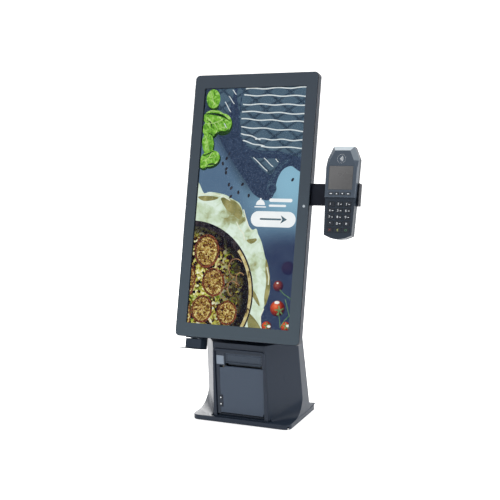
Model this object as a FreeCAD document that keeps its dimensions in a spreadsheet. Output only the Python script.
"""Touchscreen kiosk: a leaning touch display on a stand with a receipt printer and a payment terminal.

Frame: +Z up, -Y towards the customer, origin on the counter under the middle of the foot, millimetres.
Display and terminal pieces are drawn upright in their own frames (x across, y into the kiosk, z up
the glass) and leaned back by their Placement.
"""
import FreeCAD, Part
import math
import os
import re
import Sketcher
from FreeCAD import Placement, Rotation, Vector

SIZES = {
    # stand
    "foot_wide": 223, "foot_deep": 150, "foot_top": 11, "foot_low": 1, "foot_corner": 14,
    "shell_floor": 7, "shell_wall": 3, "front_set_back": 8,
    "front_wide_low": 127, "front_wide_high": 116, "housing_top": 170,
    "upright_wide_low": 222, "upright_wide_high": 207, "upright_top": 236,
    "upright_front_low": 6.3, "upright_front_high": -6, "upright_back_low": 41,
    "upright_back_high": 15.5, "heel_high": 21, "flare_small": 7, "flare_large": 44,
    "pad_thick": 2, "plate_wide": 214, "plate_deep": 141, "bolt_spread_wide": 180,
    "bolt_spread_deep": 104, "bolt_hole": 3.3, "plate_screw_wide": 196, "plate_screw_deep": 122,
    "post_inner": 70, "post_thick": 4, "lug_inner": 48, "lug_thick": 6,
    # tilt hinge
    "hinge_back": -1, "hinge_high": 252, "hinge_rise": 60.4, "hinge_reach": 14.6,
    "hinge_pin": 4, "hinge_fit": 0.05, "lug_round": 9, "ear_inner": 38, "ear_thick": 6,
    "pin_head": 6.5, "pin_head_thick": 3,
    # service door, its lock and the mains inlet
    "door_low": 62, "door_half": 50, "door_high": 104, "door_lap": 4, "door_thick": 3,
    "knuckle_x": -60, "knuckle_y": 3.5, "knuckle_round": 3.2, "knuckle_fit": 0.05,
    "door_pin": 1.5, "lock_x": 40, "lock_z": 52, "lock_round": 8, "cam_reach": 19,
    "inlet_half": 14.5, "inlet_low": 29.5, "inlet_high": 50.5, "inlet_face": 41,
    # printer
    "bay_half": 54.5, "bay_low": 13, "bay_high": 153, "case_half": 53.5, "case_front": -66,
    "case_back": 14, "case_top": 152.5, "strip_edge": -46, "cover_left": -45.6, "cover_right": 53,
    "cover_low": 20, "cover_high": 120.5, "cover_thick": 3, "flap_axis_back": -61.5,
    "flap_axis_high": 23, "flap_barrel": 3, "flap_stub": 1.8,
    "platen_back": -54.5, "platen_high": 112.5, "platen_radius": 6.5, "platen_left": -27,
    "platen_right": 45, "gear_module": 0.6, "roll_back": -22, "roll_high": 50, "roll_radius": 32.5,
    "roll_left": -26, "roll_right": 36, "key_face": 7.4, "key_x": -45.2, "feed_high": 52,
    "power_high": 38, "open_left": -52, "open_right": -35, "open_low": 124, "open_high": 142.7,
    # display
    "lean": 15.3, "glass_wide": 277, "glass_low": -28, "glass_high": 522, "glass_thick": 3,
    "glass_corner": 8, "view_wide": 230, "view_high": 494, "frame_wide": 279, "frame_low": -29,
    "frame_high": 523, "frame_front": 1.5, "frame_back": 18, "flange_front": 3.6,
    "flange_back": 5.5, "frame_wall": 3, "cover_back": 45, "back_wide": 212, "back_low": 0,
    "back_high": 482, "sensor_x": 128.5, "sensor_z": 249, "sensor_round": 2.9,
    "power_x": 96, "power_y": 12, "vesa_half": 50, "vesa_low": 14, "vesa_high": 114,
    "vesa_hole": 2.25, "vent_half": 72, "vent_low": 400, "speaker_x": 85, "speaker_z": 36,
    # scanner shelf
    "shelf_left": -115, "shelf_right": -77, "shelf_front": 2, "shelf_back": 30,
    "shelf_low": -53.5, "shelf_high": -29.2, "shelf_thick": 1.5, "lip_left": -133,
    "scan_right": -78, "shelf_screw_left": -104, "shelf_screw_right": -88,
    # terminal and its arm, in the terminal's frame
    "term_x": 208.5, "term_z": 276, "term_front": -18, "term_low_front": -13.5, "term_split": -4,
    "term_back": 7.5, "term_top": 91.5, "term_top_half": 21.5, "term_shoulder": 67,
    "term_shoulder_half": 32.5, "term_waist": -10, "term_waist_half": 31, "term_foot": -84,
    "term_foot_half": 28.5, "term_tip": -92, "facet": 9, "term_wall": 2.5,
    "arm_low": -24, "arm_high": 20, "arm_front": 8, "arm_thick": 2.5, "arm_right": 35.7,
    "cap_wide": 13.8, "cap_high": 8.6, "cap_pitch_x": 16.7, "cap_pitch_z": 12.7, "cap_gap": 0.3,
    "soft_wide": 9, "soft_high": 5, "soft_pitch": 11.9, "soft_z": -3, "first_row": -23,
}

doc = FreeCAD.newDocument("touchscreen_kiosk")
sheet = doc.addObject("Spreadsheet::Sheet", "Sizes")
for row, (alias, number) in enumerate(SIZES.items(), start=1):
    sheet.set("A%d" % row, alias)
    sheet.set("B%d" % row, str(number))
    sheet.setAlias("B%d" % row, alias)
doc.recompute()

PLANES = {"X": ("YZ_Plane", 1), "Y": ("XZ_Plane", -1), "Z": ("XY_Plane", 1)}
AXES = {"X": Vector(1, 0, 0), "Y": Vector(0, 1, 0), "Z": Vector(0, 0, 1)}
pieces = []


def size(name):
    """Read one driving dimension."""
    return float(sheet.get(name))


def bound(text):
    """Turn a formula of dimension names into an expression on the sheet."""
    return re.sub(r"\b[a-z]\w*", r"Sizes.\g<0>", str(text))


def rect(left, low, right, high):
    return [(left, low), (right, low), (right, high), (left, high)]


def centred(width, low, high):
    return rect("-(%s)/2" % width, low, "(%s)/2" % width, high)


def clipped(width, low, high, corner):
    """A centred rectangle with its corners cut off."""
    near, far = "(%s)/2" % width, "((%s)/2 - %s)" % (width, corner)
    return [("-" + far, low), (far, low), (near, "%s + %s" % (low, corner)),
            (near, "%s - %s" % (high, corner)), (far, high), ("-" + far, high),
            ("-" + near, "%s - %s" % (high, corner)), ("-" + near, "%s + %s" % (low, corner))]


def disc(across, up, radius):
    return ("disc", across, up, radius)


class Piece:
    """A PartDesign body built from pads and pockets whose outlines are tied to the sheet."""

    def __init__(self, label, place=None):
        self.body = doc.addObject("PartDesign::Body", label)
        self.body.Label = label
        self.body.Placement = place or Placement()
        pieces.append(self.body)

    def plane(self, role):
        return [item for item in self.body.Origin.OriginFeatures if item.Role == role][0]

    def sketch(self, axis, start, outlines):
        role, way = PLANES[axis]
        drawn = self.body.newObject("Sketcher::SketchObject", "outline")
        drawn.AttachmentSupport = [(self.plane(role), "")]
        drawn.MapMode = "FlatFace"
        drawn.setExpression("AttachmentOffset.Base.z", "%d * (%s)" % (way, bound(start)))
        for outline in outlines:
            if outline[0] == "disc":
                draw_disc(drawn, *outline[1:])
            else:
                draw_polygon(drawn, outline)
        return drawn

    def feature(self, kind, axis, start, length, outlines, against):
        drawn = self.sketch(axis, start, outlines)
        made = self.body.newObject("PartDesign::" + kind, kind.lower())
        made.Profile = drawn
        made.setExpression("Length", bound(length))
        made.Reversed = (PLANES[axis][1] < 0) != against
        drawn.Visibility = False
        return made

    def add(self, axis, start, length, *outlines):
        """Pad outlines from start along the positive axis."""
        self.feature("Pad", axis, start, length, outlines, False)
        return self

    def cut(self, axis, start, length, *outlines):
        """Pocket outlines from start along the positive axis."""
        doc.recompute()
        before = self.body.Shape.Volume
        self.feature("Pocket", axis, start, length, outlines, True)
        doc.recompute()
        if self.body.Shape.Volume > before - 1e-3:
            raise RuntimeError("a pocket in %s removed nothing" % self.body.Label)
        return self

    def loft(self, kind, axis, start, outline, end, far_outline):
        near = self.sketch(axis, start, [outline])
        far = self.sketch(axis, end, [far_outline])
        made = self.body.newObject("PartDesign::" + kind, "loft")
        made.Profile = near
        made.Sections = [far]
        made.Ruled = True
        return self

    def dress(self, kind, amount, wanted):
        """Fillet or chamfer the edges that the test picks out."""
        doc.recompute()
        base = self.body.Tip
        names = ["Edge%d" % (i + 1) for i, edge in enumerate(base.Shape.Edges) if wanted(edge)]
        made = self.body.newObject("PartDesign::" + kind, kind.lower())
        made.Base = (base, names)
        made.setExpression("Size" if kind == "Chamfer" else "Radius", bound(amount))
        return self

    def round(self, radius, wanted):
        return self.dress("Fillet", radius, wanted)

    def repeat(self, role, length, count):
        """Repeat the last feature in a row along one of the body's own axes."""
        doc.recompute()
        last = self.body.Tip
        row = self.body.newObject("PartDesign::LinearPattern", "row")
        row.Originals = [last]
        row.Direction = (self.plane(role), [""])
        row.setExpression("Length", bound(length))
        row.Occurrences = count
        self.body.Tip = row
        return self

    def spin(self, role, count):
        """Repeat the last feature in a circle about one of the body's own axes."""
        doc.recompute()
        last = self.body.Tip
        circle = self.body.newObject("PartDesign::PolarPattern", "circle")
        circle.Originals = [last]
        circle.Axis = (self.plane(role), [""])
        circle.Angle = 360
        circle.Occurrences = count
        self.body.Tip = circle
        return self


def draw_polygon(drawn, points):
    first = len(drawn.Geometry)
    count = len(points)
    corners = [Vector(math.cos(2 * math.pi * i / count), math.sin(2 * math.pi * i / count), 0)
               for i in range(count)]
    for i in range(count):
        drawn.addGeometry(Part.LineSegment(corners[i], corners[(i + 1) % count]), False)
    for i in range(count):
        following = first + (i + 1) % count
        drawn.addConstraint(Sketcher.Constraint("Coincident", first + i, 2, following, 1))
    for i, point in enumerate(points):
        place_point(drawn, first + i, 1, point)


def draw_disc(drawn, across, up, radius):
    ring = drawn.addGeometry(Part.Circle(Vector(0, 0, 0), Vector(0, 0, 1), 1), False)
    sized = drawn.addConstraint(Sketcher.Constraint("Radius", ring, 1.0))
    drawn.setExpression("Constraints[%d]" % sized, bound(radius))
    place_point(drawn, ring, 3, (across, up))


def place_point(drawn, line, end, point):
    for kind, text in zip(("DistanceX", "DistanceY"), point):
        index = drawn.addConstraint(Sketcher.Constraint(kind, -1, 1, line, end, 1.0))
        drawn.setExpression("Constraints[%d]" % index, bound(text))


def along(axis):
    """A test for straight edges parallel to an axis."""
    way = AXES[axis]

    def test(edge):
        straight = edge.Curve.TypeId == "Part::GeomLine"
        return straight and abs(edge.tangentAt(edge.FirstParameter).dot(way)) > 0.999
    return test


def on(axis, place):
    """A test for edges that lie wholly in one plane across an axis."""
    index = "XYZ".index(axis)
    return lambda edge: all(abs(spot.Point[index] - place) < 0.05 for spot in edge.Vertexes)


# ---------------------------------------------------------------- frames of the leaning pieces
hinge = Vector(0, size("hinge_back"), size("hinge_high"))
lean_back = Rotation(Vector(1, 0, 0), -size("lean"))
hinge_in_display = Vector(0, size("cover_back") + size("hinge_reach"), size("hinge_rise"))
DISPLAY = Placement(hinge - lean_back.multVec(hinge_in_display), lean_back)
TERMINAL = DISPLAY.multiply(Placement(Vector(size("term_x"), 0, size("term_z")), Rotation()))


# ---------------------------------------------------------------- stand shell
def between(low, high, share):
    return low + (high - low) * share


def upright_plan(height):
    """Half width, front and back of the upright at a height."""
    share = (height - size("shell_floor")) / (size("upright_top") - size("shell_floor"))
    half = between(size("upright_wide_low"), size("upright_wide_high"), share) / 2
    front = between(size("upright_front_low"), size("upright_front_high"), share)
    back = between(size("upright_back_low"), size("upright_back_high"), share)
    return half, front, back


def upright_outline(height):
    half, front, back = upright_plan(height)
    return [(-half, front), (half, front), (half, back), (-half, back)]


def housing_outline(height):
    """Narrow front face, sides that slant out to the upright, and a stretch inside the upright."""
    share = (height - size("shell_floor")) / (size("housing_top") - size("shell_floor"))
    nose = between(size("front_wide_low"), size("front_wide_high"), share) / 2
    face = size("front_set_back") - size("foot_deep") / 2
    half, front, back = upright_plan(height)
    inside = (front + back) / 2
    return [(-nose, face), (nose, face), (half, front), (half, inside), (-half, inside),
            (-half, front)]


def side_outline(height):
    half = upright_plan(height)[0]
    reach = size("foot_deep")
    return [(-half, -reach), (half, -reach), (half, reach), (-half, reach)]


def stack(outline, low, high, inset=0):
    """A solid between an outline at one height and the same outline at another."""
    wires = []
    for height in (low, high):
        corners = [Vector(across, back, height) for across, back in outline(height)]
        wire = Part.makePolygon(corners + corners[:1])
        if inset:
            wire = wire.makeOffset2D(-inset, 2)
        wires.append(wire)
    return Part.makeLoft(wires, True, True)


def flare(side):
    """Hollow sweep from the foot up to a slanted side, growing towards the upright."""
    level = size("foot_top")
    nose, face = housing_outline(level)[1]
    half, front = housing_outline(level)[2]
    start = Vector(nose * side, face, level)
    run = Vector(half * side, front, level) - start
    out = Vector(-run.y, run.x, 0).normalize() * (-side)
    up = Vector(0, 0, 1)
    wires = []
    for share, radius in ((0.05, size("flare_small")), (1.1, size("flare_large"))):
        corner = start + run * share
        root = corner - out * size("shell_wall")
        sole = corner + out * radius
        middle = corner + (out + up) * radius * (1 - math.sqrt(0.5))
        top = corner + up * radius
        edges = [Part.makeLine(root - up, sole - up), Part.makeLine(sole - up, sole),
                 Part.Arc(sole, middle, top).toShape(), Part.makeLine(top, root + up * radius),
                 Part.makeLine(root + up * radius, root - up)]
        wires.append(Part.Wire(edges))
    return Part.makeLoft(wires, True, True)


def box(left, front, low, right, back, high):
    return Part.makeBox(right - left, back - front, high - low, Vector(left, front, low))


def rod(radius, start, end):
    way = end - start
    return Part.makeCylinder(radius, way.Length, start, way)


def rounded(solid, radius, wanted):
    return solid.makeFillet(radius, [edge for edge in solid.Edges if wanted(edge)])


wall = size("shell_wall")
back_slope = math.atan2(size("upright_back_low") - size("upright_back_high"),
                        size("upright_top") - size("shell_floor"))
SHELL_KNUCKLES = ((-2.0, 12.0), (92.0, 106.0))
DOOR = Placement(Vector(0, upright_plan(size("door_low"))[2], size("door_low")),
                 Rotation(Vector(1, 0, 0), math.degrees(back_slope)))


def foot_solid():
    half, reach = size("foot_wide") / 2, size("foot_deep") / 2
    foot = box(-half, -reach, size("foot_low"), half, reach, size("foot_top"))
    foot = rounded(foot, size("foot_corner"), along("Z"))
    return rounded(foot, 1.2, on("Z", size("foot_top")))


def heel_solid():
    """Slope from the back of the upright down to the foot's back edge."""
    half = upright_plan(size("foot_top"))[0] - 0.5
    edge = size("foot_deep") / 2 - 1.5
    start = upright_plan(size("heel_high"))[2] - 4
    profile = [(start, size("foot_top") - 1), (edge, size("foot_top") - 1),
               (edge, size("foot_top") + 1.5), (start + 8, size("heel_high"))]
    profile.append((start, size("heel_high") + 4))
    corners = [Vector(-half, back, height) for back, height in profile]
    face = Part.Face(Part.makePolygon(corners + corners[:1]))
    return face.extrude(Vector(2 * half, 0, 0))


def rim_solid():
    """Raised rim round the printer bay, rounded at its upper corners."""
    face = size("front_set_back") - size("foot_deep") / 2
    low, high = size("foot_top") - 0.5, size("bay_high") + 5
    wide_low, wide_high = size("front_wide_low") / 2 - 1, size("front_wide_high") / 2 + 0.3
    corners = [Vector(-wide_low, face - 2.5, low), Vector(wide_low, face - 2.5, low),
               Vector(wide_high, face - 2.5, high), Vector(-wide_high, face - 2.5, high)]
    rim = Part.Face(Part.makePolygon(corners + corners[:1])).extrude(Vector(0, 4, 0))
    rim = rounded(rim, 7, lambda edge: along("Y")(edge) and edge.CenterOfMass.z > low + 9)
    return rounded(rim, 1.2, lambda edge: on("Y", face - 2.5)(edge)
                   and edge.CenterOfMass.z > low + 1)


def door_knuckles():
    """The shell's two hinge knuckles, outside the service door's edge."""
    made = []
    x, y = size("knuckle_x"), size("knuckle_y")
    for low, high in SHELL_KNUCKLES:
        barrel = rod(size("knuckle_round"), Vector(x, y, low), Vector(x, y, high))
        web = box(x - 2.5, -1.5, low, x + 2.5, y, high)
        bored = barrel.fuse(web).cut(rod(size("door_pin") + size("knuckle_fit"),
                                         Vector(x, y, low - 1), Vector(x, y, high + 1)))
        bored.Placement = DOOR
        made.append(bored)
    return made


def inlet_room(extra, front, back):
    """Box round the inlet's cut-out, larger all round by extra."""
    half = size("inlet_half") + extra
    return box(-half, front, size("inlet_low") - extra, half, back, size("inlet_high") + extra)


def stand_shell():
    """One moulding: foot, housing, upright, flares, rim and the hinge knuckles of the door."""
    floor, reach = size("shell_floor"), size("foot_deep") / 2
    upright = stack(upright_outline, floor, size("upright_top"))
    upright = rounded(upright, 4, on("Z", size("upright_top")))
    housing = stack(housing_outline, floor, size("housing_top"))
    nose_edges = [edge for edge in housing.Edges if edge.BoundBox.YMax < 2 - reach + 8
                  and edge.BoundBox.ZLength > 100]
    housing = housing.makeFillet(5, nose_edges)
    sides = stack(side_outline, floor, size("upright_top"))
    flares = [flare(side).common(sides) for side in (-1, 1)]
    outer = foot_solid().multiFuse([upright, housing, heel_solid(), rim_solid(),
                                    inlet_room(6, 28, size("inlet_face"))] + flares)
    hollow = stack(upright_outline, floor - 1, size("upright_top") - wall, wall)
    hollow = hollow.fuse(stack(housing_outline, floor - 1, size("housing_top") - wall, wall))
    under = box(-size("foot_wide") / 2 + wall, -reach + wall, 0, size("foot_wide") / 2 - wall,
                reach - wall, floor)
    bay = box(-size("bay_half"), -reach, size("bay_low"), size("bay_half"), -reach + 20,
              size("bay_high"))
    shell = outer.cut(hollow.fuse(under)).cut(bay)
    shell = shell.fuse(inlet_room(6, 30, 36)).cut(inlet_room(0, 20, size("inlet_face") + 1))
    opening = box(-size("door_half"), -12, 0, size("door_half"), 6, size("door_high"))
    opening.Placement = DOOR
    shell = shell.cut(opening)
    for side in (-1, 1):
        middle = side * (size("lug_inner") + size("lug_thick") / 2)
        half = size("lug_thick") / 2 + 0.5
        shell = shell.cut(box(middle - half, -4.7, 220, middle + half, 10.7, 250))
        for depth in (-1, 1):
            spot = Vector(side * size("plate_screw_wide") / 2,
                          depth * size("plate_screw_deep") / 2, floor - 1)
            shell = shell.cut(rod(2.05, spot, spot + Vector(0, 0, 4.4)))
    shell = shell.multiFuse(door_knuckles())
    keep = doc.addObject("Part::Feature", "stand_shell")
    keep.Label = "stand_shell"
    keep.Shape = shell.removeSplitter()
    pieces.append(keep)


# ---------------------------------------------------------------- rest of the stand
def corner_discs(wide, deep, radius):
    return [disc("%s%s/2" % (a, wide), "%s%s/2" % (b, deep), radius)
            for a in ("-", "") for b in ("-", "")]


def base_plate():
    plate = Piece("base_plate")
    plate.add("Z", "pad_thick", "shell_floor - pad_thick - 0.1",
              centred("plate_wide", "-plate_deep/2", "plate_deep/2"))
    plate.round("foot_corner - 4", along("Z"))
    plate.cut("Z", 0, "shell_floor", *corner_discs("bolt_spread_wide", "bolt_spread_deep",
                                                  "bolt_hole"))
    plate.cut("Z", 0, "shell_floor", *corner_discs("plate_screw_wide", "plate_screw_deep", 2.1))
    plate.cut("Z", 0, "pad_thick + 2.1", *corner_discs("plate_screw_wide", "plate_screw_deep",
                                                       4.2))


def grip_pad():
    pad = Piece("grip_pad")
    pad.add("Z", 0, "pad_thick - 0.02", centred("plate_wide - 8", "-plate_deep/2 + 4",
                                                "plate_deep/2 - 4"))
    pad.round("foot_corner - 8", along("Z"))
    pad.cut("Z", -1, "pad_thick + 2", *corner_discs("bolt_spread_wide", "bolt_spread_deep", 6))
    pad.cut("Z", -1, "pad_thick + 2", *corner_discs("plate_screw_wide", "plate_screw_deep", 5))


def stand_screws():
    """Four screws from under the base plate up into the foot."""
    solids = []
    for across in (-1, 1):
        for back in (-1, 1):
            spot = Vector(across * size("plate_screw_wide") / 2,
                          back * size("plate_screw_deep") / 2, 2.3)
            head = rod(3.9, spot, spot + Vector(0, 0, 1.7))
            slot = box(spot.x - 3, spot.y - 0.5, 2, spot.x + 3, spot.y + 0.5, 2.9)
            shank = rod(1.95, spot + Vector(0, 0, 1.7), spot + Vector(0, 0, 7.6))
            solids.append(head.fuse(shank).cut(slot))
    group = doc.addObject("Part::Feature", "stand_screws")
    group.Label = "stand_screws"
    group.Shape = Part.makeCompound(solids)
    pieces.append(group)


def stand_spine():
    """Two posts inside the upright, a cross plate, and the two lugs that hold the hinge pin."""
    spine = Piece("stand_spine")
    post = [(13, "shell_floor"), (33, "shell_floor"), (9.8, "upright_top - 5"),
            (-1.5, "upright_top - 5")]
    for start in ("post_inner", "-post_inner - post_thick"):
        spine.add("X", start, "post_thick", post)
        if start == "post_inner":
            spine.add("Z", "upright_top - 10", 5,
                      rect("-post_inner - 1", -1.4, "post_inner + 1", 9.8))
    lug = [(0, "upright_top - 8"), (9.6, "upright_top - 8"), ("hinge_back + lug_round", "hinge_high"),
           ("hinge_back - lug_round", "hinge_high")]
    for start in ("lug_inner", "-lug_inner - lug_thick"):
        spine.add("X", start, "lug_thick", lug)
        spine.add("X", start, "lug_thick", disc("hinge_back", "hinge_high", "lug_round"))
    spine.cut("X", "-post_inner", "2*post_inner",
              disc("hinge_back", "hinge_high", "hinge_pin + 0.02"))


def tilt_pin():
    pin = Piece("tilt_pin", Placement(hinge, Rotation()))
    inside = "(lug_inner + lug_thick + 0.4)"
    outside = "-%s - pin_head_thick" % inside
    pin.add("X", outside, "2*(%s + pin_head_thick)" % inside, disc(0, 0, "hinge_pin"))
    pin.add("X", outside, "pin_head_thick", disc(0, 0, "pin_head"))
    pin.add("X", inside, "pin_head_thick", disc(0, 0, "pin_head"))
    pin.dress("Chamfer", 0.8, lambda edge: edge.Curve.TypeId == "Part::GeomCircle"
              and edge.Curve.Radius > 6 and abs(edge.CenterOfMass.x) > 57)


def power_inlet():
    """Three-pole mains inlet with its flange on the shell's back."""
    inlet = Piece("power_inlet")
    inlet.add("Y", "inlet_face + 0.05", 2, centred("2*inlet_half + 8", "inlet_low - 4",
                                                   "inlet_high + 4"))
    inlet.add("Y", 20, "inlet_face - 19", centred("2*inlet_half - 0.6", "inlet_low + 0.3",
                                                  "inlet_high - 0.3"))
    inlet.cut("Y", 26, 20, [(-11.5, 32), (11.5, 32), (11.5, 43.5), (7.5, 48), (-7.5, 48),
                            (-11.5, 43.5)])
    for across, up in ((-6, 37.5), (6, 37.5), (0, 42.5)):
        inlet.add("Y", 25.5, 12, rect(across - 1, up - 2, across + 1, up + 2))


def rear_door():
    """Service door with its long knuckle, and the pin that it turns on."""
    door = Piece("rear_door", DOOR)
    knuckle = "%s + 0.4" % SHELL_KNUCKLES[0][1]
    knuckle_long = SHELL_KNUCKLES[1][0] - SHELL_KNUCKLES[0][1] - 0.8
    left, right = "-door_half - door_lap", "door_half + door_lap"
    door.add("Y", 0.4, "door_thick - 0.4", rect(left, -3, right, "door_high + 3"))
    door.add("Z", knuckle, knuckle_long, disc("knuckle_x", "knuckle_y", "knuckle_round"))
    door.add("Z", knuckle, knuckle_long, rect("knuckle_x", 0.4, left + " + 1", "door_thick"))
    door.cut("Z", 0, 100, disc("knuckle_x", "knuckle_y", "door_pin + knuckle_fit"))
    door.cut("Y", -1, 8, disc("lock_x", "lock_z", "lock_round + 0.05"))
    door.cut("Y", 2.2, 2, rect(-34, 88, 34, 90)).repeat("Z_Axis", 12, 3)
    pin = Piece("door_hinge_pin", DOOR)
    pin.add("Z", -4, "door_high + 8", disc("knuckle_x", "knuckle_y", "door_pin"))
    pin.add("Z", -5.5, 1.5, disc("knuckle_x", "knuckle_y", "door_pin + 1.2"))


def lock_cam():
    """Cam lock of the service door: barrel, face ring, key slot and the cam behind the door."""
    spot = Placement(Vector(size("lock_x"), 0, size("lock_z")), Rotation())
    lock = Piece("lock_cam", DOOR.multiply(spot))
    lock.add("Y", -7.5, 11.5, disc(0, 0, "lock_round"))
    lock.add("Y", 3.3, 2.2, disc(0, 0, "lock_round + 2"))
    lock.add("Y", -7.5, 2.5, rect(-4, "-cam_reach", 4, 0))
    lock.cut("Y", 2.5, 4, rect(-0.7, -4, 0.7, 4))


# ---------------------------------------------------------------- receipt printer
def printer_case():
    """Case that fills the bay: side walls, top bar, and the strip that holds the two keys."""
    case = Piece("printer_case")
    inner_left, inner_right = "strip_edge", "case_half - 3"
    case.add("Y", "case_front", "case_back - case_front",
             rect("-case_half", "shell_floor + 0.1", "case_half", "case_top"))
    case.cut("Y", "case_front - 1", "case_back - case_front - 1.5",
             rect(inner_left, 17, inner_right, "case_top - 4.5"))
    case.cut("Y", "case_front - 1", 4.5, rect("-case_half - 1", 0, "case_half + 1", 17))
    case.cut("Y", "case_front - 1", 4.5, rect("case_half - 4", 16, "case_half + 1", "cover_high + 1"))
    case.add("Y", "case_front", 16, rect("-case_half + 1", "cover_high + 1", "open_right + 2.5",
                                         "case_top - 1"))
    case.add("Y", "case_front", 7, rect("strip_edge - 1", "power_high - 6", "key_x + 4.9",
                                        "feed_high + 6"))
    case.cut("Y", "case_front - 1", 12, rect("open_left - 0.35", "open_low - 0.35",
                                             "open_right + 0.35", "open_high + 0.35"))
    for row in ("feed_high", "power_high"):
        case.cut("Y", "case_front - 1", 7, rect("key_x - key_face/2 - 0.25",
                                                row + " - key_face/2 - 0.25",
                                                "key_x + key_face/2 + 0.25",
                                                row + " + key_face/2 + 0.25"))
    case.cut("X", "-case_half + 2", "2*case_half - 2.5",
             disc("flap_axis_back", "flap_axis_high", "flap_stub + 0.06"))
    case.round(1, lambda edge: on("Y", size("case_front"))(edge) and along("X")(edge)
               and edge.CenterOfMass.z > size("case_top") - 0.2)


def exit_bezel():
    """Frame of the paper mouth, sloping in to the slot."""
    bezel = Piece("exit_bezel")
    left, right = "open_right + 3", "case_half - 3.3"
    bezel.add("Y", "case_front + 1.5", 12, rect(left, "cover_high + 6.5", right, "case_top - 4.8"))
    bezel.cut("Y", "case_front", 4, rect("open_right + 5.5", "cover_high + 9.5",
                                         "case_half - 6", "case_top - 8.6"))
    bezel.dress("Chamfer", 2.2, lambda edge: on("Y", size("case_front") + 1.5)(edge)
                and abs(edge.CenterOfMass.x - 9) < 40
                and 128 < edge.CenterOfMass.z < 145)


def tear_bar():
    """Toothed steel strip on the lower edge of the paper mouth."""
    bar = Piece("tear_bar")
    bar.add("Z", "cover_high + 3.4", 3, rect(-26, "case_front + 3", 46, "case_front + 8"))
    bar.cut("Z", "cover_high + 3", 4, [(-26.1, "case_front + 2"), (-24, "case_front + 2"),
                                       (-25.05, "case_front + 4.4")]).repeat("X_Axis", 68.25, 32)


def printer_cover():
    """Front flap with its hinge barrel and the two arms that carry the platen."""
    cover = Piece("printer_cover")
    cover.add("Y", "case_front", "cover_thick",
              rect("cover_left", "cover_low", "cover_right", "cover_high"))
    cover.cut("Y", "case_front - 1", 6, rect("cover_left - 1", "power_high - 6.4", "key_x + 5.3",
                                             "feed_high + 6.4"),
              rect("cover_left - 1", "cover_high - 3.5", "open_right + 0.5", "cover_high + 1"))
    cover.cut("Y", "case_front - 1", 6, rect("case_half - 3.4", "cover_low - 1", "cover_right + 1",
                                             "flap_axis_high + 1.6"))
    cover.add("X", -43, 92, disc("flap_axis_back", "flap_axis_high", "flap_barrel"))
    cover.add("X", -50, 102, disc("flap_axis_back", "flap_axis_high", "flap_stub"))
    for start in (-44.5, 46.5):
        cover.add("X", start, 2.5, [("case_front + 2", 92), ("case_front + 4", 92),
                                    ("platen_back + 5", "platen_high - 5"),
                                    ("platen_back + 5", "platen_high + 4"),
                                    ("case_front + 2", "platen_high + 4")])
    cover.cut("X", -60, 120, disc("platen_back", "platen_high", 2.05))
    cover.round(1.2, lambda edge: along("X")(edge) and on("Y", size("case_front"))(edge)
                and edge.CenterOfMass.z > 119)


def gear(label, teeth, x, back, high, turned):
    """A spur gear across the printer; the tooth shape leaves room on both sides."""
    pitch = teeth * size("gear_module") / 2
    root, tip = pitch - 0.7, pitch + 0.5
    place = Placement(Vector(x, back, high), Rotation(Vector(1, 0, 0), turned))
    wheel = Piece(label, place)
    wheel.add("X", 0, 3.5, disc(0, 0, root))
    thick = math.pi * size("gear_module") / 2
    wheel.add("X", 0, 3.5, [(root - 0.3, -0.52 * thick), (pitch, -0.4 * thick), (tip, -0.2 * thick),
                            (tip, 0.2 * thick), (pitch, 0.4 * thick), (root - 0.3, 0.52 * thick)])
    wheel.spin("X_Axis", teeth)
    return wheel


PLATEN_TEETH, MOTOR_TEETH = 24, 12
GEAR_X, GEAR_ANGLE = -40.5, -60.0
SHAFT_LEFT, SHAFT_LONG = -46.0, 96.0
gear_gap = (PLATEN_TEETH + MOTOR_TEETH) * SIZES["gear_module"] / 2
motor_back = size("platen_back") + gear_gap * math.cos(math.radians(GEAR_ANGLE))
motor_high = size("platen_high") + gear_gap * math.sin(math.radians(GEAR_ANGLE))


def paper_drive():
    """Platen and its geared shaft in the flap, and the motor with its gear in the case."""
    roller = Piece("platen_roller")
    roller.add("X", "platen_left", "platen_right - platen_left",
               disc("platen_back", "platen_high", "platen_radius"))
    roller.cut("X", -60, 120, disc("platen_back", "platen_high", 2.55))
    shaft = gear("platen_shaft", PLATEN_TEETH, GEAR_X, size("platen_back"), size("platen_high"),
                 GEAR_ANGLE)
    shaft.add("X", SHAFT_LEFT - GEAR_X, SHAFT_LONG, disc(0, 0, 2))
    shaft.add("X", "platen_left + 0.5 - (%s)" % GEAR_X, "platen_right - platen_left - 1",
              disc(0, 0, 2.53))
    tooth = 360.0 / MOTOR_TEETH
    gear("motor_gear", MOTOR_TEETH, GEAR_X, motor_back, motor_high,
         GEAR_ANGLE + 180 + tooth / 2).cut("X", -1, 6, disc(0, 0, 1.02))
    motor = Piece("feed_motor", Placement(Vector(0, motor_back, motor_high), Rotation()))
    motor.add("X", -36, 7, disc(0, 0, 7))
    motor.add("X", -42, 7, disc(0, 0, 1))
    motor.add("X", -35.5, 1.2, rect(-4, -11, 12, -4))


def print_head():
    """Thermal head behind the platen, with a finned heat sink."""
    head = Piece("print_head")
    head.add("Y", "platen_back + platen_radius + 0.4", 6, rect("platen_left - 1", 106,
                                                              "platen_right", 120))
    head.add("Y", "platen_back + platen_radius + 6", 4, rect("platen_left + 4", 100,
                                                            "platen_right - 4", 124))
    head.cut("Y", "platen_back + platen_radius + 8", 5,
             rect("platen_left + 6", 102, "platen_left + 8", 122)).repeat("X_Axis", 54, 10)


def paper_roll():
    """Receipt roll on its core hole."""
    roll = Piece("paper_roll")
    roll.add("X", "roll_left", "roll_right - roll_left",
             disc("roll_back", "roll_high", "roll_radius"))
    roll.cut("X", -60, 120, disc("roll_back", "roll_high", 6.5))


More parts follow.
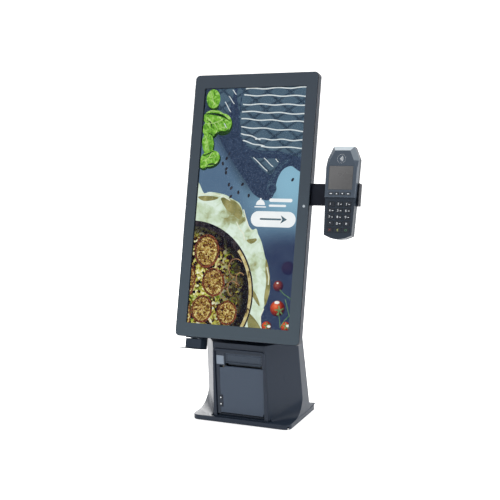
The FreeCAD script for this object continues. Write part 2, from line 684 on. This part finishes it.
def push_button(label, left, low, right, high, deep):
    """Square cap with a wider tail behind it."""
    button = Piece(label)
    button.add("Y", "case_front - 0.8", deep, rect(left, low, right, high))
    button.round(0.7, on("Y", size("case_front") - 0.8))


def printer_buttons():
    push_button("open_button", "open_left", "open_low", "open_right", "open_high", 7)
    for label, row in (("feed_button", "feed_high"), ("printer_power_button", "power_high")):
        push_button(label, "key_x - key_face/2", row + " - key_face/2", "key_x + key_face/2",
                    row + " + key_face/2", 5)


# ---------------------------------------------------------------- display
def display_front():
    """Cover glass, its gasket, the picture panel and the light sensor behind the glass."""
    glass = Piece("cover_glass", DISPLAY)
    glass.add("Y", 0, "glass_thick", centred("glass_wide", "glass_low", "glass_high"))
    glass.round("glass_corner", along("Y"))
    glass.round(0.5, on("Y", 0))
    gasket = Piece("glass_gasket", DISPLAY)
    gasket.add("Y", "glass_thick + 0.02", "flange_front - glass_thick - 0.04",
               centred("glass_wide - 2", "glass_low + 1", "glass_high - 1"),
               centred("view_wide + 5", -2.5, "view_high + 2.5"))
    gasket.cut("Y", 0, 10, disc("sensor_x", "sensor_z", "sensor_round + 0.3"))
    panel = Piece("lcd_panel", DISPLAY)
    panel.add("Y", "flange_back + 0.2", 9, centred("view_wide + 14", -7, "view_high + 7"))
    panel.cut("Y", "flange_back", 0.6, centred("view_wide", 0, "view_high"))
    panel.cut("Y", "flange_back + 7.2", 3, centred("view_wide - 20", 20, "view_high - 20"))
    sensor = Piece("light_sensor", DISPLAY)
    sensor.add("Y", "glass_thick + 0.1", 6, disc("sensor_x", "sensor_z", "sensor_round"))
    sensor.add("Y", "glass_thick + 5", 3, rect("sensor_x - 4", "sensor_z - 6", "sensor_x + 4",
                                               "sensor_z + 6"))


def mid_frame():
    """Aluminium rim that carries the glass, with its screw holes and the button hole."""
    frame = Piece("mid_frame", DISPLAY)
    frame.add("Y", "frame_front", "frame_back - frame_front",
              centred("frame_wide", "frame_low", "frame_high"))
    frame.round("glass_corner + 1", along("Y"))
    frame.cut("Y", "flange_back", "frame_back",
              centred("frame_wide - 2*frame_wall", "frame_low + frame_wall",
                      "frame_high - frame_wall"))
    frame.cut("Y", 0, "frame_back", centred("view_wide + 5", -2.5, "view_high + 2.5"))
    frame.cut("Y", 0, "flange_front", centred("glass_wide + 0.3", "glass_low - 0.15",
                                              "glass_high + 0.15"))
    frame.cut("Y", 0, "frame_back", disc("sensor_x", "sensor_z", "sensor_round + 0.3"))
    frame.cut("X", "frame_wide/2 - frame_wall - 1", "frame_wall + 2",
              disc(14, "term_z + arm_low + 10", 1.55), disc(14, "term_z + arm_high - 10", 1.55))
    frame.cut("Z", "frame_low - 1", "frame_wall + 2", disc("power_x", "power_y", 3.3),
              disc("shelf_screw_left", 10, 1.55), disc("shelf_screw_right", 10, 1.55))


def vesa_discs():
    """The square of four holes that the tilt bracket is screwed to."""
    return [disc(side, level, "vesa_hole") for side in ("-vesa_half", "vesa_half")
            for level in ("vesa_low", "vesa_high")]


def rear_cover():
    """Tapered back of the display with its vents, speaker slots and connector bay."""
    cover = Piece("rear_cover", DISPLAY)
    start = "frame_back + 0.1"
    cover.loft("AdditiveLoft", "Y", start,
               clipped("frame_wide - 1", "frame_low + 0.5", "frame_high - 0.5", "glass_corner"),
               "cover_back", clipped("back_wide", "back_low", "back_high", "2*glass_corner"))
    cover.loft("SubtractiveLoft", "Y", start,
               clipped("frame_wide - 7", "frame_low + 3.5", "frame_high - 3.5", "glass_corner"),
               "cover_back - 2.5",
               clipped("back_wide - 5", "back_low + 4", "back_high - 4", "2*glass_corner"))
    cover.cut("Y", "cover_back - 4", 6, *vesa_discs())
    cover.cut("Y", "cover_back - 4", 6, rect("-vent_half", "vent_low", "vent_half",
                                             "vent_low + 3")).repeat("Z_Axis", 56, 8)
    for left in (-98, 72):
        cover.cut("Y", "cover_back - 4", 6,
                  rect(left, 16, left + 26, 18.4)).repeat("Z_Axis", 36, 7)
    cover.cut("Y", "cover_back - 4", 6, rect(-38, 128, 38, 150))


def display_inside():
    """Controller board, the two speakers behind their slots, and the power button."""
    board = Piece("main_board", DISPLAY)
    board.add("Y", 24, 1.6, rect(-80, 180, 80, 340))
    board.add("Y", 25.5, 12, rect(-30, 240, 30, 300))
    board.cut("Y", 29, 9, rect(-26, 238, -24, 302)).repeat("X_Axis", 50, 11)
    for x, wide in ((-66, 16), (-44, 14), (-24, 14), (0, 20), (28, 14), (50, 18)):
        board.add("Y", 25.5, 8, rect(x, 180, x + wide, 194))
    solids = []
    for side in (-1, 1):
        across, up = side * size("speaker_x"), size("speaker_z")
        cabinet = box(across - 14, 24, up - 22, across + 14, 41, up + 22)
        cone = Part.makeCone(11, 5, 5, Vector(across, 41, up), Vector(0, -1, 0))
        solids.append(cabinet.cut(cone))
    speakers = doc.addObject("Part::Feature", "speakers")
    speakers.Label = "speakers"
    speakers.Shape = Part.makeCompound(solids)
    speakers.Placement = DISPLAY
    pieces.append(speakers)
    button = Piece("display_power_button", DISPLAY)
    button.add("Z", "frame_low - 1.2", 7, disc("power_x", "power_y", 3))
    button.add("Z", "frame_low + frame_wall + 1.6", 1.5, disc("power_x", "power_y", 4.4))
    button.round(0.5, on("Z", size("frame_low") - 1.2))


def tilt_bracket():
    """Plate on the display's back with two ears that hang on the hinge pin."""
    bracket = Piece("tilt_bracket", DISPLAY)
    bracket.add("Y", "cover_back + 0.05", 3, rect(-60, 4, 60, 124))
    bracket.round(6, along("Y"))
    ear = [("cover_back + 2.5", "hinge_rise - 34"), ("cover_back + hinge_reach", "hinge_rise - lug_round"),
           ("cover_back + hinge_reach", "hinge_rise + lug_round"), ("cover_back + 2.5", "hinge_rise + 34")]
    for start in ("ear_inner", "-ear_inner - ear_thick"):
        bracket.add("X", start, "ear_thick", ear)
        bracket.add("X", start, "ear_thick", disc("cover_back + hinge_reach", "hinge_rise",
                                                  "lug_round"))
    bracket.cut("X", -70, 140, disc("cover_back + hinge_reach", "hinge_rise",
                                    "hinge_pin + hinge_fit"))
    bracket.cut("Y", 40, 12, *vesa_discs())


def head_screws():
    """Bracket, arm and scanner screws of the display, as one group."""
    solids = []
    for x in (-size("vesa_half"), size("vesa_half")):
        for z in (size("vesa_low"), size("vesa_high")):
            tip, head = Vector(x, 38, z), Vector(x, 48.1, z)
            solids.append(rod(2.1, tip, head).fuse(rod(4, head, head + Vector(0, 2.4, 0)))
                          .cut(rod(1.6, head + Vector(0, 1, 0), head + Vector(0, 4, 0))))
    side = size("frame_wide") / 2 + size("arm_thick") + 0.2
    for z in (size("arm_low") + 10, size("arm_high") - 10):
        head = Vector(side, 14, size("term_z") + z)
        solids.append(rod(1.45, head - Vector(9, 0, 0), head)
                      .fuse(rod(2.9, head, head + Vector(1.8, 0, 0))))
    for x in (size("shelf_screw_left"), size("shelf_screw_right")):
        head = Vector(x, 10, size("frame_low") - 1.9)
        solids.append(rod(1.45, head, head + Vector(0, 0, 8))
                      .fuse(rod(2.4, head - Vector(0, 0, 1), head)))
    group = doc.addObject("Part::Feature", "head_screws")
    group.Label = "head_screws"
    group.Shape = Part.makeCompound(solids)
    group.Placement = DISPLAY
    pieces.append(group)


def scanner():
    """Bent shelf under the display's left corner, with the scan module hung in it."""
    bracket = Piece("scanner_bracket", DISPLAY)
    inner = "shelf_back - shelf_thick"
    bracket.add("X", "shelf_left", "shelf_right - shelf_left",
                [(3, "shelf_high - shelf_thick"), (3, "shelf_high"), ("shelf_back", "shelf_high"),
                 ("shelf_back", "shelf_low"), ("shelf_front", "shelf_low"),
                 ("shelf_front", "shelf_low + shelf_thick"), (inner, "shelf_low + shelf_thick"),
                 (inner, "shelf_high - shelf_thick")])
    bracket.add("Z", "shelf_low", "shelf_thick",
                rect("lip_left", "shelf_front", "shelf_left + 1", "shelf_back"))
    bracket.cut("Z", "shelf_low - 6", 12, rect(-108, 8, -85, 22))
    bracket.cut("Z", "shelf_high - 6", 8, disc("shelf_screw_left", 10, 1.6),
                disc("shelf_screw_right", 10, 1.6))
    module = Piece("scanner_body", DISPLAY)
    module.add("Y", 3.2, 24.8, rect("shelf_left + 1", "shelf_low + 1.8", "scan_right",
                                    "shelf_high - 3"))
    module.round(1, along("X"))
    module.cut("Z", "shelf_low - 1", 4.5, rect(-106, 10, -87, 20))
    window = Piece("scanner_window", DISPLAY)
    window.add("Z", "shelf_low + 1.6", 1.2, rect(-105.8, 10.2, -87.2, 19.8))


# ---------------------------------------------------------------- payment terminal
def head_outline():
    return [("-term_top_half", "term_top"), ("-term_shoulder_half", "term_shoulder"),
            ("-term_waist_half", "term_waist"), ("term_waist_half", "term_waist"),
            ("term_shoulder_half", "term_shoulder"), ("term_top_half", "term_top")]


def tail_outline(start):
    return [("-term_waist_half", start), ("-term_foot_half", "term_foot"),
            ("-term_foot_half/2", "term_tip + 2"), (0, "term_tip"),
            ("term_foot_half/2", "term_tip + 2"), ("term_foot_half", "term_foot"),
            ("term_waist_half", start)]


DIGIT_ROWS = (("1", "2", "3"), ("4", "5", "6"), ("7", "8", "9"), ("star", "0", "hash"),
              ("cancel", "clear", "enter"))


def cap_places():
    """Label and middle of each of the fifteen large keys."""
    for row, names in enumerate(DIGIT_ROWS):
        for column, name in enumerate(names):
            yield "key_" + name, "%d*cap_pitch_x" % (column - 1), "first_row - %d*cap_pitch_z" % row


def soft_places():
    for column in range(4):
        yield "soft_key_%d" % (column + 1), "%g*soft_pitch" % (column - 1.5), "soft_z"


def around(x, z, wide, high, extra):
    """A rectangle about a middle, larger all round by extra."""
    return rect("%s - (%s)/2 - %s" % (x, wide, extra), "%s - (%s)/2 - %s" % (z, high, extra),
                "%s + (%s)/2 + %s" % (x, wide, extra), "%s + (%s)/2 + %s" % (z, high, extra))


def terminal_cases():
    """Upper and lower case of the terminal, and its screen."""
    top = Piece("terminal_top_case", TERMINAL)
    top.add("Y", "term_front", "term_split - term_front", head_outline())
    top.dress("Chamfer", "facet", lambda edge: on("Y", size("term_front"))(edge)
              and edge.CenterOfMass.z > 70)
    top.round(1.6, lambda edge: on("Y", size("term_front"))(edge) and edge.CenterOfMass.z < 60)
    top.add("Y", "term_low_front", "term_split - term_low_front", tail_outline("term_waist + 1"))
    top.cut("Y", "term_low_front + 2.7", 20, rect("-term_waist_half + 4.5", "term_foot + 2",
                                                  "term_waist_half - 4.5", "term_waist + 1"))
    top.cut("Y", "term_front + 3.5", 20, rect("-term_waist_half + 2.5", "term_waist",
                                              "term_waist_half - 2.5", "term_shoulder - 8"))
    top.cut("Y", "term_front - 1", 2.6, rect(-24.8, 5, 24.8, 51.9))
    top.cut("Y", "term_low_front - 1", 6,
            *[around(x, z, "cap_wide", "cap_high", "cap_gap") for _, x, z in cap_places()])
    top.cut("Y", "term_front - 1", 8,
            *[around(x, z, "soft_wide", "soft_high", "cap_gap") for _, x, z in soft_places()])
    base = Piece("terminal_base_case", TERMINAL)
    base.add("Y", "term_split + 0.05", "term_back - term_split - 0.05",
             head_outline()[:2] + tail_outline("term_waist")[:-1] + head_outline()[4:])
    base.round(3, on("Y", size("term_back")))
    base.cut("Y", "term_split", "term_back - term_split - term_wall",
             [("-term_shoulder_half + 3.5", "term_shoulder - 4"),
              ("-term_foot_half + 3", "term_foot + 1"), ("term_foot_half - 3", "term_foot + 1"),
              ("term_shoulder_half - 3.5", "term_shoulder - 4")])
    base.cut("Z", "term_tip - 1", 12, rect(-24, 0, 24, 1.6))
    screen = Piece("terminal_screen", TERMINAL)
    screen.add("Y", "term_front + 0.1", 1.45, rect(-24.5, 5.3, 24.5, 51.6))
    screen.round(0.3, on("Y", size("term_front") + 0.1))


def terminal_key(label, x, z, wide, high, front, inner):
    """Key cap standing proud of its hole, with a flange behind the case."""
    cap = Piece(label, TERMINAL)
    cap.add("Y", front, "%s - (%s) + 0.3" % (inner, front), around(x, z, wide, high, 0))
    cap.round(0.8, on("Y", front))
    cap.add("Y", "%s + 0.2" % inner, 1, around(x, z, wide, high, 0.9))


def terminal_keys():
    for label, x, z in cap_places():
        terminal_key(label, x, z, "cap_wide", "cap_high", size("term_low_front") - 1.3,
                     "term_low_front + 2.7")
    for label, x, z in soft_places():
        terminal_key(label, x, z, "soft_wide", "soft_high", size("term_front") - 0.8,
                     "term_front + 3.5")


def terminal_arm():
    """Strap bent back along the display's side, out behind the terminal and round its far side."""
    arm = Piece("terminal_arm", TERMINAL)
    root = "frame_wide/2 + 0.15 - term_x"
    bend = "arm_front + arm_thick"
    outline = [(root, "arm_front"), ("arm_right - arm_thick", "arm_front"),
               ("arm_right - arm_thick", -6), ("arm_right", -6), ("arm_right", bend),
               (root + " + arm_thick", bend), (root + " + arm_thick", 17.5), (root, 17.5)]
    arm.add("Z", "arm_low", "arm_high - arm_low", outline)
    arm.cut("X", root + " - 1", "arm_thick + 2", disc(14, "arm_low + 10", 1.6),
            disc(14, "arm_high - 10", 1.6))
    arm.round(1.2, lambda edge: along("Z")(edge) and abs(edge.CenterOfMass.x - 35) < 3
              and edge.CenterOfMass.y > 7)


# ---------------------------------------------------------------- build, check and write
def main():
    stand_shell()
    base_plate()
    grip_pad()
    stand_screws()
    stand_spine()
    tilt_pin()
    power_inlet()
    rear_door()
    lock_cam()
    printer_case()
    exit_bezel()
    tear_bar()
    printer_cover()
    paper_drive()
    print_head()
    paper_roll()
    printer_buttons()
    display_front()
    mid_frame()
    rear_cover()
    display_inside()
    tilt_bracket()
    head_screws()
    scanner()
    terminal_cases()
    terminal_keys()
    terminal_arm()
    doc.recompute()
    for item in doc.Objects:
        if "Invalid" in item.State or "Error" in item.State:
            raise RuntimeError("%s (%s) did not build" % (item.Name, item.Label))
    os.makedirs("parts", exist_ok=True)
    for piece in pieces:
        shape = piece.Shape
        if shape.isNull() or not shape.isValid():
            raise RuntimeError("%s has no valid shape" % piece.Label)
        shape.exportStep("parts/%s.step" % piece.Label)
        print("%-22s %2d solids %9.0f mm3" % (piece.Label, len(shape.Solids), shape.Volume))
    print(len(pieces), "pieces")


main()
